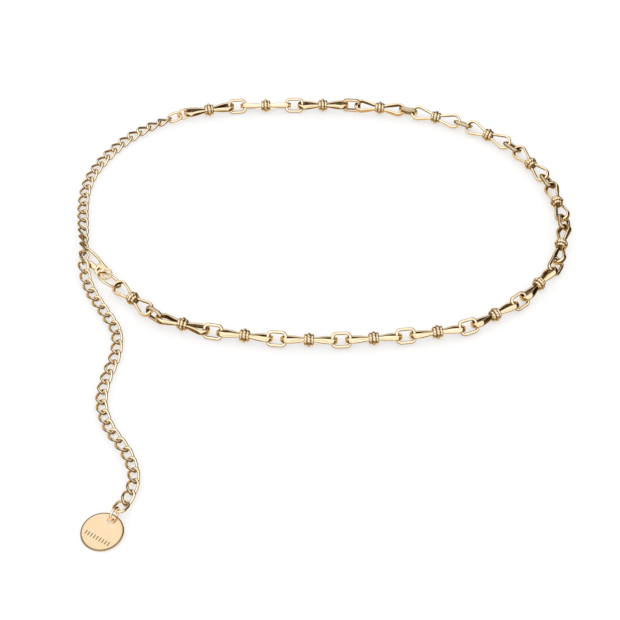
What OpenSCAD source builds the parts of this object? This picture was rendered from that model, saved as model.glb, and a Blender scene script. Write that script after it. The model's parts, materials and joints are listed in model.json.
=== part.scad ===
// Waist chain: a loop of bow-shaped knot links and rounded-rectangle connector links, closed by
// a lobster clasp on a twisted curb chain whose free tail ends in a round disc.
// Millimetres, +Z up. It lies on the plane Z = 0, with the origin at the middle of the loop.

/* [Knot links] */
// Overall length of a knot link along the chain
knot_len = 29.4; // [29:0.1:29.8]
// Outer width of each teardrop loop
loop_w = 8.4; // [7.8:0.1:9]
// Thickness of the loop's band in the link's own plane
loop_wire = 1.4; // [1.1:0.05:1.5]
// Depth of the loop's band across the link's own plane
loop_depth = 2.8; // [2.2:0.1:3]
// Diameter of the bead over its middle rib
bead_d = 7.4; // [7:0.1:8]
// Diameter of the bead over its two outer ribs
side_rib_d = 6; // [5.6:0.1:6.6]
// Width of one rib of the bead
rib_w = 1.9; // [1.7:0.1:2.2]
// Distance between the middles of two ribs
rib_pitch = 1.7; // [1.5:0.1:1.8]
// Distance between the two wires where they leave the bead
neck_w = 2.2; // [1.8:0.1:2.8]

/* [Connector links] */
// Overall length of a connector link along the chain
connector_len = 10.8; // [10.5:0.1:11.1]
// Outer width of a connector link
connector_w = 8.6; // [8:0.1:9.2]
// Thickness of the connector's band in the link's own plane
connector_wire = 1.7; // [1.5:0.05:1.8]
// Depth of the connector's band across the link's own plane
connector_depth = 2; // [1.9:0.05:2.2]
// Outer radius of the connector's rounded corners
connector_corner = 3; // [2.6:0.1:3.4]

/* [Curb chain] */
// Overall length of a curb link along the chain
curb_len = 9.6; // [9.4:0.05:10]
// Outer width of a curb link before it is twisted
curb_w = 6.3; // [6.1:0.05:6.6]
// Diameter of the curb link's wire
curb_wire = 1.35; // [1.25:0.05:1.4]
// Twist of each end of a curb link away from its middle, in degrees
curb_twist = 45; // [40:1:48]
// Overall length of the plain oval link at either end of the curb chain
oval_len = 9.4; // [9.2:0.1:10]
// Outer width of the plain oval link
oval_w = 7.2; // [6.8:0.1:7.8]
// Diameter of the plain oval link's wire
oval_wire = 1.4; // [1.2:0.05:1.5]
// Outer diameter of the small ring next to the last knot link
start_ring_d = 7; // [6.8:0.1:8]
// Diameter of the small ring's wire
start_ring_wire = 1.2; // [1:0.05:1.3]

/* [Disc] */
// Diameter of the disc
tag_d = 20.4; // [18:0.1:23]
// Thickness of the disc
tag_thick = 1; // [0.8:0.1:1.2]
// Diameter of the disc's hole
tag_hole_d = 3.2; // [3.1:0.1:3.4]
// Metal left between the hole and the disc's edge
tag_hole_edge = 1.8; // [1.5:0.1:2]
// Outer diameter of the ring through the disc's hole
tag_ring_d = 7.9; // [7.6:0.1:9]
// Diameter of the wire of the ring through the disc's hole
tag_ring_wire = 1.2; // [1.1:0.05:1.25]
// Length of one of the plain ticks cut in the disc's face
tick_len = 2.3; // [1.4:0.1:2.6]
// Width of one tick
tick_w = 0.5; // [0.3:0.05:0.7]
// Depth of a tick
tick_deep = 0.15; // [0.1:0.05:0.3]
// Distance between two ticks
tick_pitch = 1.6; // [1.3:0.1:1.8]

/* [Clasp] */
// Length of the clasp from its eye's end to the tip of its nose
clasp_len = 26; // [25.6:0.1:26.6]
// Width of the clasp across its hook
clasp_w = 7.6; // [7.4:0.1:8]
// Thickness of the clasp
clasp_thick = 2.8; // [2.6:0.1:3]
// Width of the hook's bar round the nose
hook_bar = 1.5; // [1.4:0.05:1.7]
// Thickness of the hook and of the lever's thumb pad
hook_thick = 2; // [1.8:0.1:2.2]
// Radius of the rounded end round the eye
eye_end_r = 3.1; // [3:0.1:3.3]
// Diameter of the clasp's eye
eye_d = 4.3; // [4.2:0.05:4.4]
// Thickness of the clasp round its eye
eye_thick = 1.1; // [1:0.1:1.2]
// Diameter of the lever's pin
pin_d = 1.2; // [1:0.1:1.4]
// Thickness of the lever where it sits in its slot
lever_thick = 1.2; // [1:0.1:1.4]
// Outer diameter of the large ring between the clasp and the first knot link
clasp_ring_d = 14; // [13.9:0.1:14.3]
// Diameter of the large ring's wire
clasp_ring_wire = 1.4; // [1.3:0.05:1.45]

/* [Fits] */
// Play left where two round wires hold each other
link_play = 0.3; // [0.25:0.01:0.35]
// Play left where two flat bands hold each other
band_play = 0.5; // [0.45:0.01:0.55]
// Radial clearance of the lever's bore round its pin
pin_play = 0.05; // [0.03:0.01:0.08]
// Clearance on each side of the lever in its slot
slot_play = 0.2; // [0.15:0.05:0.25]

/* [Hidden] */
$fn = 48;
golden = [0.86, 0.71, 0.45];

// Names
function two_digits(i) = str(i < 10 ? "0" : "", i);
knot_count = 17;
connector_count = knot_count - 1;
knot_names = [for (i = [1:knot_count]) str("knot_link_", two_digits(i))];
connector_names = [for (i = [1:connector_count]) str("connector_", two_digits(i))];

// Curb links up to and with the one on the hook, and curb links of the tail
loop_curbs = 19;
tail_curbs = 26;
curb_count = loop_curbs + tail_curbs;

// The route of the chain, from the large ring round the loop to the disc, seen from above
route = [
    [-106.7, -51.9], [-81.5, -76], [-54.5, -84], [-19.5, -89], [12.5, -89.5], [45.5, -86.5],
    [76, -80.5], [104.5, -62], [125, -36.5], [132, -4.5], [125.5, 27.5], [108, 55], [81, 74],
    [50, 84.5], [17.5, 89], [-16, 89.5], [-49, 88.5], [-76.5, 83], [-96.5, 73], [-111, 61],
    [-122.5, 44], [-128.5, 28.5], [-130, 12], [-128.5, -6], [-126.5, -22], [-125.5, -30],
    [-125.5, -37.5], [-121, -53], [-111.2, -70], [-104.6, -82.5], [-104.2, -98], [-107.8, -113],
    [-108.8, -128.5], [-103.8, -144], [-94.6, -158], [-89.5, -172.5], [-90.8, -184], [-95.6, -194]];
// The route's point at the start of the hooked link, counted from 0
hook_point = 24;

// Lean of each knot link's face towards the inside of the loop, in degrees
knot_lean = [-24, 22, 36, 37, 38, 38, 38, 38, 34, 34, 37, 37, 34, 12, -20, -45, -18];
start_ring_lean = 75;
start_link_lean = 5;
end_link_lean = -5;

// Lean of the curb links on both sides of the hooked one, which stands on edge, and the heights
// of the joints there, both counted from the hooked link
hook_leans = [[-5, 0], [-4, 8], [-3, 15.1], [-2, 35.8], [-1, 52.9], [0, 65.9], [1, 48.7],
    [2, 19.4], [3, 4.6], [4, 0]];
hook_heights = [[-4, 2], [-3, 2.4], [-2, 2.77], [-1, 3.28], [0, 4], [1, 4.21], [2, 4.15],
    [3, 3.12], [4, 1.9]];
// The first and last few curb links turn step by step towards the oval links
first_turned = 3;
first_turn_step = 7;
last_turned = 4;
last_turn_step = 6;
function curb_lean(i) = lookup(i - (loop_curbs - 1), hook_leans)
    - first_turn_step * max(0, first_turned - i)
    + last_turn_step * max(0, i - (curb_count - 1 - last_turned));

// Vectors and curves
function total(list, n) = n <= 0 ? 0 : list[n - 1] + total(list, n - 1);
function curve_point(a, b, c, d, t) = 0.5 * (2 * b + (c - a) * t
    + (2 * a - 5 * b + 4 * c - d) * t * t + (3 * b - a - 3 * c + d) * t * t * t);
function smooth_line(points, steps) =
    let (n = len(points))
    [for (i = [0:n - 2], k = [0:steps - (i == n - 2 ? 0 : 1)])
        curve_point(points[max(i - 1, 0)], points[i], points[i + 1],
            points[min(i + 2, n - 1)], k / steps)];
function smooth_loop(points, steps) =
    let (n = len(points))
    [for (i = [0:n - 1], k = [0:steps - 1])
        curve_point(points[(i + n - 1) % n], points[i], points[(i + 1) % n],
            points[(i + 2) % n], k / steps)];
function lengths(line) =
    [for (i = 0, s = 0; i < len(line);
        s = s + (i + 1 < len(line) ? norm(line[i + 1] - line[i]) : 0), i = i + 1) s];
function arc_points(centre, r, from, to, steps) =
    [for (k = [0:steps]) let (a = from + (to - from) * k / steps) centre + r * [cos(a), sin(a)]];
function unit(v) = v / norm(v);

// Distance along the chain that each link takes: its inner length less the play
knot_step = knot_len - 2 * loop_wire - band_play;
connector_step = connector_len - 2 * connector_wire - band_play;
curb_step = curb_len - 2 * curb_wire - link_play;
oval_step = oval_len - 2 * oval_wire - link_play;
start_ring_step = start_ring_d - 2 * start_ring_wire - link_play;
steps = concat(
    [for (i = [0:knot_count + connector_count - 1]) i % 2 == 0 ? knot_step : connector_step],
    [start_ring_step, oval_step], [for (i = [1:curb_count]) curb_step], [oval_step]);
first_curb = knot_count + connector_count + 2;
hook_index = first_curb + loop_curbs - 1;

// Centre line of a curb link: a racetrack whose cross direction turns with its length
curb_half = (curb_len - curb_wire) / 2;
curb_r = (curb_w - curb_wire) / 2;
curb_end_steps = 6;
curb_track = concat(
    arc_points([curb_half - curb_r, 0], curb_r, -90, 90, curb_end_steps),
    arc_points([curb_r - curb_half, 0], curb_r, 90, 270, curb_end_steps));
function turned(p, a) = [p[0], p[1] * cos(a), p[1] * sin(a)];
function curb_turn(x) = -curb_twist * x / curb_half;
curb_line = [for (p = curb_track) turned(p, curb_turn(p[0]))];

// Half height of a link lying with a given lean, which is how high its middle is carried
function curb_height(lean) = max([for (p = curb_line)
    p[1] * sin(lean) + p[2] * cos(lean)]) + curb_wire / 2;
function band_height(w, wire, depth, lean) = (w - wire) / 2 * abs(sin(lean)) + wire / 2
    + (depth - wire) / 2 * abs(cos(lean));
function ring_height(d, wire, lean) = (d - wire) / 2 * abs(sin(lean)) + wire / 2;
function knot_height(lean) = max(bead_d / 2, band_height(loop_w, loop_wire, loop_depth, lean));

// Lean of a connector: it lies flatter than square to the mean of its two knot links, but the
// more the two differ, the squarer it stands to them
connector_turn = 72;
function connector_lean(i) =
    let (mean = (knot_lean[i] + knot_lean[i + 1]) / 2)
    let (turn = connector_turn + abs(knot_lean[i] - knot_lean[i + 1]) / 2)
    mean > 0 ? mean - turn : mean + turn;
function connector_height(i) =
    band_height(connector_w, connector_wire, connector_depth, connector_lean(i));
leans = concat(
    [for (i = [0:knot_count + connector_count - 1])
        i % 2 == 0 ? knot_lean[i / 2] : connector_lean((i - 1) / 2)],
    [start_ring_lean, start_link_lean], [for (i = [0:curb_count - 1]) curb_lean(i)],
    [end_link_lean]);
heights = concat(
    [for (i = [0:knot_count + connector_count - 1])
        i % 2 == 0 ? knot_height(knot_lean[i / 2]) : connector_height((i - 1) / 2)],
    [ring_height(start_ring_d, start_ring_wire, start_ring_lean),
     ring_height(oval_w, oval_wire, start_link_lean)],
    [for (i = [0:curb_count - 1]) curb_height(curb_lean(i))],
    [ring_height(oval_w, oval_wire, end_link_lean)]);

// Where each two links hold each other, carried as high as the higher of the two
tag_ring_r = (tag_ring_d - tag_ring_wire) / 2;
tag_ring_z = tag_ring_d / 2;
function joint_z(i) = i == len(steps) ? tag_ring_z
    : i >= hook_index - 4 && i <= hook_index + 4 ? lookup(i - hook_index, hook_heights)
    : i == 0 ? heights[0]
    : max(heights[i - 1], heights[i]);
joint_zs = [for (i = [0:len(steps)]) joint_z(i)];

// A sloping link takes less of the route, seen from above, than a level one
plan_steps = [for (i = [0:len(steps) - 1])
    sqrt(pow(steps[i], 2) - pow(joint_zs[i + 1] - joint_zs[i], 2))];
joints = [for (i = 0, s = 0; i <= len(steps);
    s = s + (i < len(steps) ? plan_steps[i] : 0), i = i + 1) s];

// The route is drawn to the chain's own length, the loop as far as the hooked link and the tail
// by itself, and the loop's two ends, which the clasp joins, keep their distance
drawn = smooth_line(route, 8);
drawn_s = lengths(drawn);
hook_row = 8 * hook_point;
first_scale = joints[hook_index] / drawn_s[hook_row];
ends_apart = drawn[0] - drawn[hook_row];
// The share of the loop's length over which its first end is moved to keep that distance
moved_share = 0.2;
function end_share(s) = max(0, 1 - s / (moved_share * drawn_s[hook_row]));
shifted = [for (i = [0:len(drawn) - 1])
    drawn[i] + (1 / first_scale - 1) * end_share(drawn_s[i]) * ends_apart];
shifted_s = lengths(shifted);
loop_scale = joints[hook_index] / shifted_s[hook_row];
tail_scale = (joints[len(joints) - 1] - joints[hook_index])
    / (shifted_s[len(shifted) - 1] - shifted_s[hook_row]);
function drawn_on(list, i) = loop_scale * list[min(i, hook_row)]
    + tail_scale * (list[max(i, hook_row)] - list[hook_row]);
route_line = [for (i = [0:len(drawn) - 1]) drawn_on(shifted, i)];
route_s = [for (i = [0:len(drawn) - 1]) drawn_on(shifted_s, i)];
x_table = [for (i = [0:len(route_line) - 1]) [route_s[i], route_line[i][0]]];
y_table = [for (i = [0:len(route_line) - 1]) [route_s[i], route_line[i][1]]];
route_end = route_s[len(route_s) - 1];
end_way = unit(route_line[len(route_line) - 1] - route_line[len(route_line) - 3]);
function along(s) = [lookup(s, x_table), lookup(s, y_table)] + max(0, s - route_end) * end_way;
joint_at = [for (i = [0:len(joints) - 1])
    let (p = along(joints[i])) [p[0], p[1], joint_zs[i]]];

module place_link(i) {
    way = joint_at[i + 1] - joint_at[i];
    translate((joint_at[i] + joint_at[i + 1]) / 2)
        rotate([-leans[i], -asin(way[2] / norm(way)), atan2(way[1], way[0])])
            children();
}

// A band's section: wire thick, depth deep, with round edges
module band_section(wire, depth) {
    for (side = [-1, 1]) translate([0, side * (depth - wire) / 2]) circle(d = wire);
    square([wire, depth - wire], center = true);
}

module band_arc(r, from, to, wire, depth) {
    rotate([0, 0, from]) rotate_extrude(angle = to - from) translate([r, 0])
        band_section(wire, depth);
}

module band_bar(length, wire, depth) {
    rotate([90, 0, 90]) linear_extrude(height = length) band_section(wire, depth);
}

// Knot link: a ribbed bead with a teardrop loop at each end. Its straight bars are a hair slimmer
// than its round end, and run a little way into it.
bar_lap = 0.25;
bar_slim = 0.04;
module teardrop_loop() {
    r = (loop_w - loop_wire) / 2;
    middle = knot_len / 2 - loop_w / 2;
    start = [rib_pitch, neck_w / 2];
    to_middle = [middle, 0] - start;
    reach = norm(to_middle);
    slope = atan2(to_middle[1], to_middle[0]) + asin(r / reach);
    translate([middle, 0, 0]) band_arc(r, -90 - slope, 90 + slope, loop_wire, loop_depth);
    for (side = [0, 1]) mirror([0, side, 0]) translate(start) rotate([0, 0, slope])
        band_bar(sqrt(reach * reach - r * r) + bar_lap, loop_wire - bar_slim,
            loop_depth - bar_slim);
}

middle_rib_r = (bead_d - rib_w) / 2;
side_rib_r = (side_rib_d - rib_w) / 2;
core_end = rib_pitch + rib_w / 3;
module ribbed_bead() {
    rotate([0, 90, 0]) rotate_extrude() {
        translate([middle_rib_r, 0]) circle(d = rib_w);
        for (side = [-1, 1]) translate([side_rib_r, side * rib_pitch]) circle(d = rib_w);
        polygon([[0, -core_end], [side_rib_r, -core_end], [side_rib_r, -rib_pitch],
            [middle_rib_r, 0], [side_rib_r, rib_pitch], [side_rib_r, core_end], [0, core_end]]);
    }
}

module knot_link() {
    color(golden) {
        ribbed_bead();
        for (end = [0, 1]) mirror([end, 0, 0]) teardrop_loop();
    }
}

// Connector link: a rounded rectangle of band
module connector_link() {
    r = connector_corner - connector_wire / 2;
    half_x = connector_len / 2 - connector_corner;
    half_y = connector_w / 2 - connector_corner;
    color(golden) for (end = [0, 1], side = [0, 1]) mirror([end, 0, 0]) mirror([0, side, 0]) {
        translate([half_x, half_y, 0]) band_arc(r, 0, 90, connector_wire, connector_depth);
        translate([0, connector_w / 2 - connector_wire / 2, 0])
            band_bar(half_x, connector_wire, connector_depth);
        translate([connector_len / 2 - connector_wire / 2, 0, 0]) rotate([0, 0, 90])
            band_bar(half_y, connector_wire, connector_depth);
    }
}

// Round ring and plain oval link of round wire
module wire_ring(d, wire) {
    color(golden) rotate_extrude() translate([(d - wire) / 2, 0]) circle(d = wire);
}

module oval_link() {
    r = (oval_w - oval_wire) / 2;
    half = (oval_len - oval_w) / 2;
    color(golden) for (end = [0, 1]) mirror([end, 0, 0]) {
        translate([half, 0, 0]) rotate([0, 0, -90]) rotate_extrude(angle = 180)
            translate([r, 0]) circle(d = oval_wire);
        for (side = [-1, 1]) translate([0, side * r, 0]) rotate([0, 90, 0])
            cylinder(h = half, d = oval_wire);
    }
}

// Curb link: a wire of six sides carried round the twisted racetrack
wire_sides = 6;
module curb_link() {
    n = len(curb_line);
    points = [for (i = [0:n - 1])
        let (way = unit(curb_line[(i + 1) % n] - curb_line[(i + n - 1) % n]))
        let (turn = curb_turn(curb_line[i][0]))
        let (side = unit(cross([0, -sin(turn), cos(turn)], way)))
        let (up = cross(way, side))
        for (k = [0:wire_sides - 1])
            let (a = 360 * (k + 0.5) / wire_sides)
            curb_line[i] + curb_wire / 2 * (cos(a) * side + sin(a) * up)];
    faces = [for (i = [0:n - 1], k = [0:wire_sides - 1])
        let (j = (i + 1) % n, m = (k + 1) % wire_sides)
        [i * wire_sides + k, j * wire_sides + k, j * wire_sides + m, i * wire_sides + m]];
    color(golden) polyhedron(points, faces, convexity = 4);
}

// The ring through the disc stands upright; the disc leans on it and rests on its far edge
tag_turn = -4;
tag_way = atan2(end_way[1], end_way[0]) + tag_turn;
tag_ring_at = joint_at[len(joint_at) - 1]
    + (tag_ring_r - tag_ring_wire / 2 - link_play / 2) * [cos(tag_way), sin(tag_way), 0];
tag_seat = tag_ring_wire + 2 * link_play + tag_thick / 2;
tag_hole_from_ring = sqrt(tag_ring_r * tag_ring_r - pow(tag_ring_z - tag_seat, 2));
tag_hole_from_middle = tag_d / 2 - tag_hole_edge - tag_hole_d / 2;
tag_from_ring = tag_hole_from_ring + tag_hole_from_middle;
tag_tilt = asin((tag_seat - tag_thick / 2) / (tag_from_ring + tag_d / 2));
tag_z = tag_seat - tag_from_ring * sin(tag_tilt);
// The row of ticks crosses the disc on the side of its middle that lies away from the hole
tick_count = 9;
tick_row_at = 0.19 * tag_d;

module tag_ring() {
    translate(tag_ring_at) rotate([90, 0, tag_way]) wire_ring(tag_ring_d, tag_ring_wire);
}

module tag_disc() {
    edge_r = tag_thick / 4;
    color(golden)
        translate([tag_ring_at[0], tag_ring_at[1], 0]
            + tag_from_ring * [cos(tag_way), sin(tag_way), 0] + [0, 0, tag_z])
            rotate([0, tag_tilt, tag_way]) difference() {
                rotate_extrude() {
                    for (side = [-1, 1])
                        translate([tag_d / 2 - edge_r, side * (tag_thick / 2 - edge_r)])
                            circle(r = edge_r);
                    translate([0, -tag_thick / 2]) square([tag_d / 2 - edge_r, tag_thick]);
                    translate([0, edge_r - tag_thick / 2])
                        square([tag_d / 2, tag_thick - 2 * edge_r]);
                }
                translate([-tag_hole_from_middle, 0, -tag_thick])
                    cylinder(h = 2 * tag_thick, d = tag_hole_d);
                for (k = [0:tick_count - 1])
                    translate([tick_row_at - tick_len / 2,
                        (k - (tick_count - 1) / 2) * tick_pitch - tick_w / 2,
                        tag_thick / 2 - tick_deep])
                        cube([tick_len, tick_w, tag_thick]);
            }
}

// Clasp: its nose's bar runs through the hooked link, and it leans towards its lever's side
clasp_roll = -25.6;
clasp_bend = 2;
clasp_base_z = 2.87;
nose_z = 3.11;
bar_from_link = 0.44;
bar_turn = 10.8;
nose_r = clasp_w / 2;
hook_joint_a = joint_at[hook_index];
hook_joint_b = joint_at[hook_index + 1];
hook_out = unit([hook_joint_a[0] - hook_joint_b[0], hook_joint_a[1] - hook_joint_b[1], 0]);
hook_link_at = (hook_joint_a + hook_joint_b) / 2;
bar_out = [hook_out[0] * cos(bar_turn) - hook_out[1] * sin(bar_turn),
    hook_out[0] * sin(bar_turn) + hook_out[1] * cos(bar_turn), 0];
nose_at = hook_link_at - bar_from_link * hook_out - (nose_r - hook_bar / 2) * bar_out
    + [0, 0, nose_z - hook_link_at[2]];
first_way = unit(joint_at[1] - joint_at[0]);
ring_slack = 0.6;
ring_hold = joint_at[0] + (clasp_ring_wire / 2 + ring_slack) * first_way;
clasp_heading = clasp_bend + atan2(nose_at[1] - ring_hold[1], nose_at[0] - ring_hold[0]);
clasp_pitch = asin((nose_z - clasp_base_z) / (clasp_len - nose_r));
module place_clasp() {
    translate(nose_at) rotate([clasp_roll, -clasp_pitch, clasp_heading])
        translate([nose_r - clasp_len, 0, 0]) children();
}

// Outlines of the clasp: along it from the eye's end, and to its left, on the lever's side.
// The two columns are shares of the clasp's length and of its width.
function shares(list) = [for (p = list) [p[0] * clasp_len, p[1] * clasp_w]];
nose = [clasp_len - nose_r, 0];
hook_end_turn = 110;
pivot_at = [0.29 * clasp_len, 0.24 * clasp_w];
eye_at = [eye_end_r, 0];
hook_back = shares([[0.2, -0.38], [0.34, -0.41], [0.52, -0.49], [0.72, -0.52]]);
hook_inside = shares([[0.7, -0.3], [0.55, -0.31], [0.45, -0.26], [0.41, -0.1], [0.41, 0.06]]);
lever_side = shares([[0.38, 0.42], [0.33, 0.5], [0.26, 0.5], [0.19, 0.42]]);
body_outline = concat(
    arc_points(eye_at, eye_end_r, 110, 250, 14),
    hook_back,
    arc_points(nose, nose_r, -90, hook_end_turn, 20),
    arc_points(nose, nose_r - hook_bar, hook_end_turn, -90, 16),
    hook_inside, lever_side);
lever_outline = smooth_loop(shares([[0.222, 0.24], [0.25, 0.07], [0.315, 0.03], [0.42, 0.04],
    [0.54, 0.05], [0.61, 0.09], [0.67, 0.18], [0.68, 0.29], [0.655, 0.4], [0.62, 0.47],
    [0.59, 0.58], [0.55, 0.59], [0.51, 0.46], [0.42, 0.41], [0.35, 0.44], [0.27, 0.42]]), 5);
slot_outline = concat(
    arc_points(pivot_at, 0.095 * clasp_len, 90, 262, 12),
    shares([[0.46, -0.14], [0.46, 1]]));

// The clasp's parts by thickness: round the eye, round the pin, and the hook
hook_from = 0.43 * clasp_len;
module slab(from, to, thick) {
    intersection() {
        translate([0, 0, -thick / 2]) linear_extrude(height = thick) children();
        translate([from, -clasp_w, -thick]) cube([to - from, 2 * clasp_w, 2 * thick]);
    }
}

module clasp_body() {
    color(golden) place_clasp() {
        difference() {
            union() {
                slab(-1, 2 * eye_end_r, eye_thick) polygon(body_outline);
                slab(2 * eye_end_r, hook_from, clasp_thick) polygon(body_outline);
                slab(hook_from, clasp_len + 1, hook_thick) polygon(body_outline);
            }
            translate([eye_at[0], eye_at[1], -clasp_thick])
                cylinder(h = 2 * clasp_thick, d = eye_d);
            translate([0, 0, -lever_thick / 2 - slot_play])
                linear_extrude(height = lever_thick + 2 * slot_play) polygon(slot_outline);
        }
        translate([pivot_at[0], pivot_at[1], -clasp_thick / 2])
            cylinder(h = clasp_thick, d = pin_d);
    }
}

module clasp_lever() {
    color(golden) place_clasp() difference() {
        union() {
            slab(0, hook_from, lever_thick) polygon(lever_outline);
            slab(hook_from, clasp_len, hook_thick) polygon(lever_outline);
        }
        translate([pivot_at[0], pivot_at[1], -clasp_thick])
            cylinder(h = 2 * clasp_thick, d = pin_d + 2 * pin_play);
    }
}

// The large ring runs through the clasp's eye and the first teardrop loop
clasp_ring_r = (clasp_ring_d - clasp_ring_wire) / 2;
clasp_ring_tilt = 39;
ring_past_eye = 0.2;
to_eye = clasp_len - nose_r - eye_end_r + ring_past_eye;
ring_eye = nose_at - to_eye * [cos(clasp_pitch) * cos(clasp_heading),
    cos(clasp_pitch) * sin(clasp_heading), sin(clasp_pitch)];
ring_chord = ring_eye - ring_hold;
ring_across = unit([-ring_chord[1], ring_chord[0], 0]);
ring_rise = sqrt(max(0, clasp_ring_r * clasp_ring_r - pow(norm(ring_chord) / 2, 2)));
ring_middle = (ring_hold + ring_eye) / 2
    + ring_rise * (cos(clasp_ring_tilt) * ring_across + sin(clasp_ring_tilt) * [0, 0, 1]);

module clasp_ring() {
    translate(ring_middle)
        rotate([0, 0, atan2(ring_chord[1], ring_chord[0])]) rotate([clasp_ring_tilt, 0, 0])
            wire_ring(clasp_ring_d, clasp_ring_wire);
}

for (i = [0:knot_count - 1])
    place_link(2 * i) knot_link();
for (i = [0:connector_count - 1])
    place_link(2 * i + 1) connector_link();
place_link(first_curb - 2) wire_ring(start_ring_d, start_ring_wire);  // start_ring
place_link(first_curb - 1) oval_link();  // start_link
for (i = [0:loop_curbs - 1]) place_link(first_curb + i) curb_link();  // curb_chain
for (i = [loop_curbs:curb_count - 1]) place_link(first_curb + i) curb_link();  // tail_chain
place_link(len(steps) - 1) oval_link();  // end_link
tag_ring();
tag_disc();
clasp_ring();
clasp_body();
clasp_lever();
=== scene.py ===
import json
import math
import bmesh
import bpy
import numpy as np
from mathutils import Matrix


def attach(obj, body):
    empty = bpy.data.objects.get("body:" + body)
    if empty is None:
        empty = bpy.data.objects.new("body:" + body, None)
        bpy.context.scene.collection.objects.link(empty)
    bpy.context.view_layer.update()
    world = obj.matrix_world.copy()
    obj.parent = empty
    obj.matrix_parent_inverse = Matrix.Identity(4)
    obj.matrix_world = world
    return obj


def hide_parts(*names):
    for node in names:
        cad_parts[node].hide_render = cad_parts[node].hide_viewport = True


# A gold-coloured waist chain lying on a pale floor. Each link's place comes from its node in the
# frame, and a smooth surface of the same size replaces the node's plain form. Sizes of pieces are
# in millimetres.
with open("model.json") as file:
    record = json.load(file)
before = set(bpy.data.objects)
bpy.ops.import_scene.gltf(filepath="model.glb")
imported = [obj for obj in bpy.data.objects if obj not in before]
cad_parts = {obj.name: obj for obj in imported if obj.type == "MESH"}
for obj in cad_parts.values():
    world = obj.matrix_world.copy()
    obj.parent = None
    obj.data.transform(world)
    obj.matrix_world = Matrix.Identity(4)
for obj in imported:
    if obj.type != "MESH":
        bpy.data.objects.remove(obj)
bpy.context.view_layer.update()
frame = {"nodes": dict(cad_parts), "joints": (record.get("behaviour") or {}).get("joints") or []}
nodes = frame["nodes"]
mm = 0.001
mergeGap = 0.0005 * mm  # points closer than this are one point
print("frame loaded:", len(nodes), "nodes")


# Corner points, each kept once, and triangles of a node's mesh
def meshArrays(node):
    mesh = nodes[node].data
    mesh.calc_loop_triangles()
    points = np.zeros(len(mesh.vertices) * 3, np.float32)
    mesh.vertices.foreach_get("co", points)
    triangles = np.zeros(len(mesh.loop_triangles) * 3, np.int32)
    mesh.loop_triangles.foreach_get("vertices", triangles)
    points, whichPoint = np.unique(np.round(points.reshape(-1, 3), 7), axis=0, return_inverse=True)
    return points.astype(float), whichPoint.ravel()[triangles].reshape(-1, 3)


# Loose solids of a mesh: every corner takes the lowest label in its triangles until none changes
def looseSolids(points, triangles):
    label = np.arange(len(points))
    while True:
        lowest = label[triangles].min(axis=1)
        newLabel = label.copy()
        for corner in range(3):
            np.minimum.at(newLabel, triangles[:, corner], lowest)
        if np.array_equal(newLabel, label):
            break
        label = newLabel
    triangleLabel = label[triangles[:, 0]]
    return [triangles[triangleLabel == one] for one in np.unique(triangleLabel)]


# A solid's middle and its long, wide and thin directions, from the sums over the tetrahedra
# between each triangle and a fixed point: volume, first moment and second moment
def solidPlace(points, triangles):
    start = points[triangles[0, 0]]
    a, b, c = (points[triangles[:, k]] - start for k in range(3))
    volume = np.einsum("ij,ij->i", a, np.cross(b, c)) / 6
    total = a + b + c
    middle = (volume[:, None] * total).sum(0) / (4 * volume.sum())
    second = sum(np.einsum("i,ij,ik->jk", volume, p, p) for p in (a, b, c, total)) / 20
    spread = second / volume.sum() - np.outer(middle, middle)
    directions = np.linalg.eigh(spread)[1]
    long, wide = directions[:, 2], directions[:, 1]
    return middle + start, np.array([long, wide, np.cross(long, wide)])


# The places of all loose solids of a node
def nodePlaces(node):
    points, triangles = meshArrays(node)
    return [solidPlace(points, part) for part in looseSolids(points, triangles)]


# Smooth step: 0 up to low, 1 from high on, 3t^2 - 2t^3 between, where t is the share of the way
def smoothStep(x, low, high):
    t = np.clip((x - low) / (high - low), 0, 1)
    return t * t * (3 - 2 * t)


# A curve through all points of a closed loop: each stretch is the cubic that leaves and meets
# its ends along the line between their neighbours
def smoothLoop(points, steps):
    points = np.array(points, float)
    t = np.linspace(0, 1, steps, endpoint=False)[None, :, None]
    a, b, c, d = (np.roll(points, k, axis=0)[:, None] for k in (1, 0, -1, -2))
    curve = 0.5 * (2 * b + (c - a) * t + (2 * a - 5 * b + 4 * c - d) * t ** 2
        + (3 * b - a - 3 * c + d) * t ** 3)
    return curve.reshape(-1, points.shape[1])


# Direction of a path at each of its points, from the points before and after
def pathDirection(path, closed):
    if closed:
        way = np.roll(path, -1, axis=0) - np.roll(path, 1, axis=0)
    else:
        way = np.gradient(path, axis=0)
    return way / np.linalg.norm(way, axis=1, keepdims=True)


# A rounded section: x = a * sign(cos t) * |cos t| ^ (2 / power), and y likewise with b and sin t.
# The half sizes may be one number, or one for each row of a path.
def roundedSection(halfThick, halfDeep, power, count):
    t = np.linspace(0, 2 * math.pi, count, endpoint=False) + math.pi / count
    x = np.sign(np.cos(t)) * np.abs(np.cos(t)) ** (2 / power)
    y = np.sign(np.sin(t)) * np.abs(np.sin(t)) ** (2 / power)
    x, y = np.broadcast_arrays(np.asarray(halfThick)[..., None] * x, np.asarray(halfDeep)[..., None] * y)
    return np.stack([x, y], axis=-1)


# A section carried along a path: point(i, j) = path(i) + x(j) * side(i) + y(j) * up(i)
def sweep(path, up, section, closed):
    way = pathDirection(path, closed)
    side = np.cross(up, way)
    side /= np.linalg.norm(side, axis=1, keepdims=True)
    up = np.cross(way, side)
    section = np.broadcast_to(section, (len(path),) + section.shape[-2:])
    grid = path[:, None] + section[..., :1] * side[:, None] + section[..., 1:] * up[:, None]
    return gridSurface(grid, closed)


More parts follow.
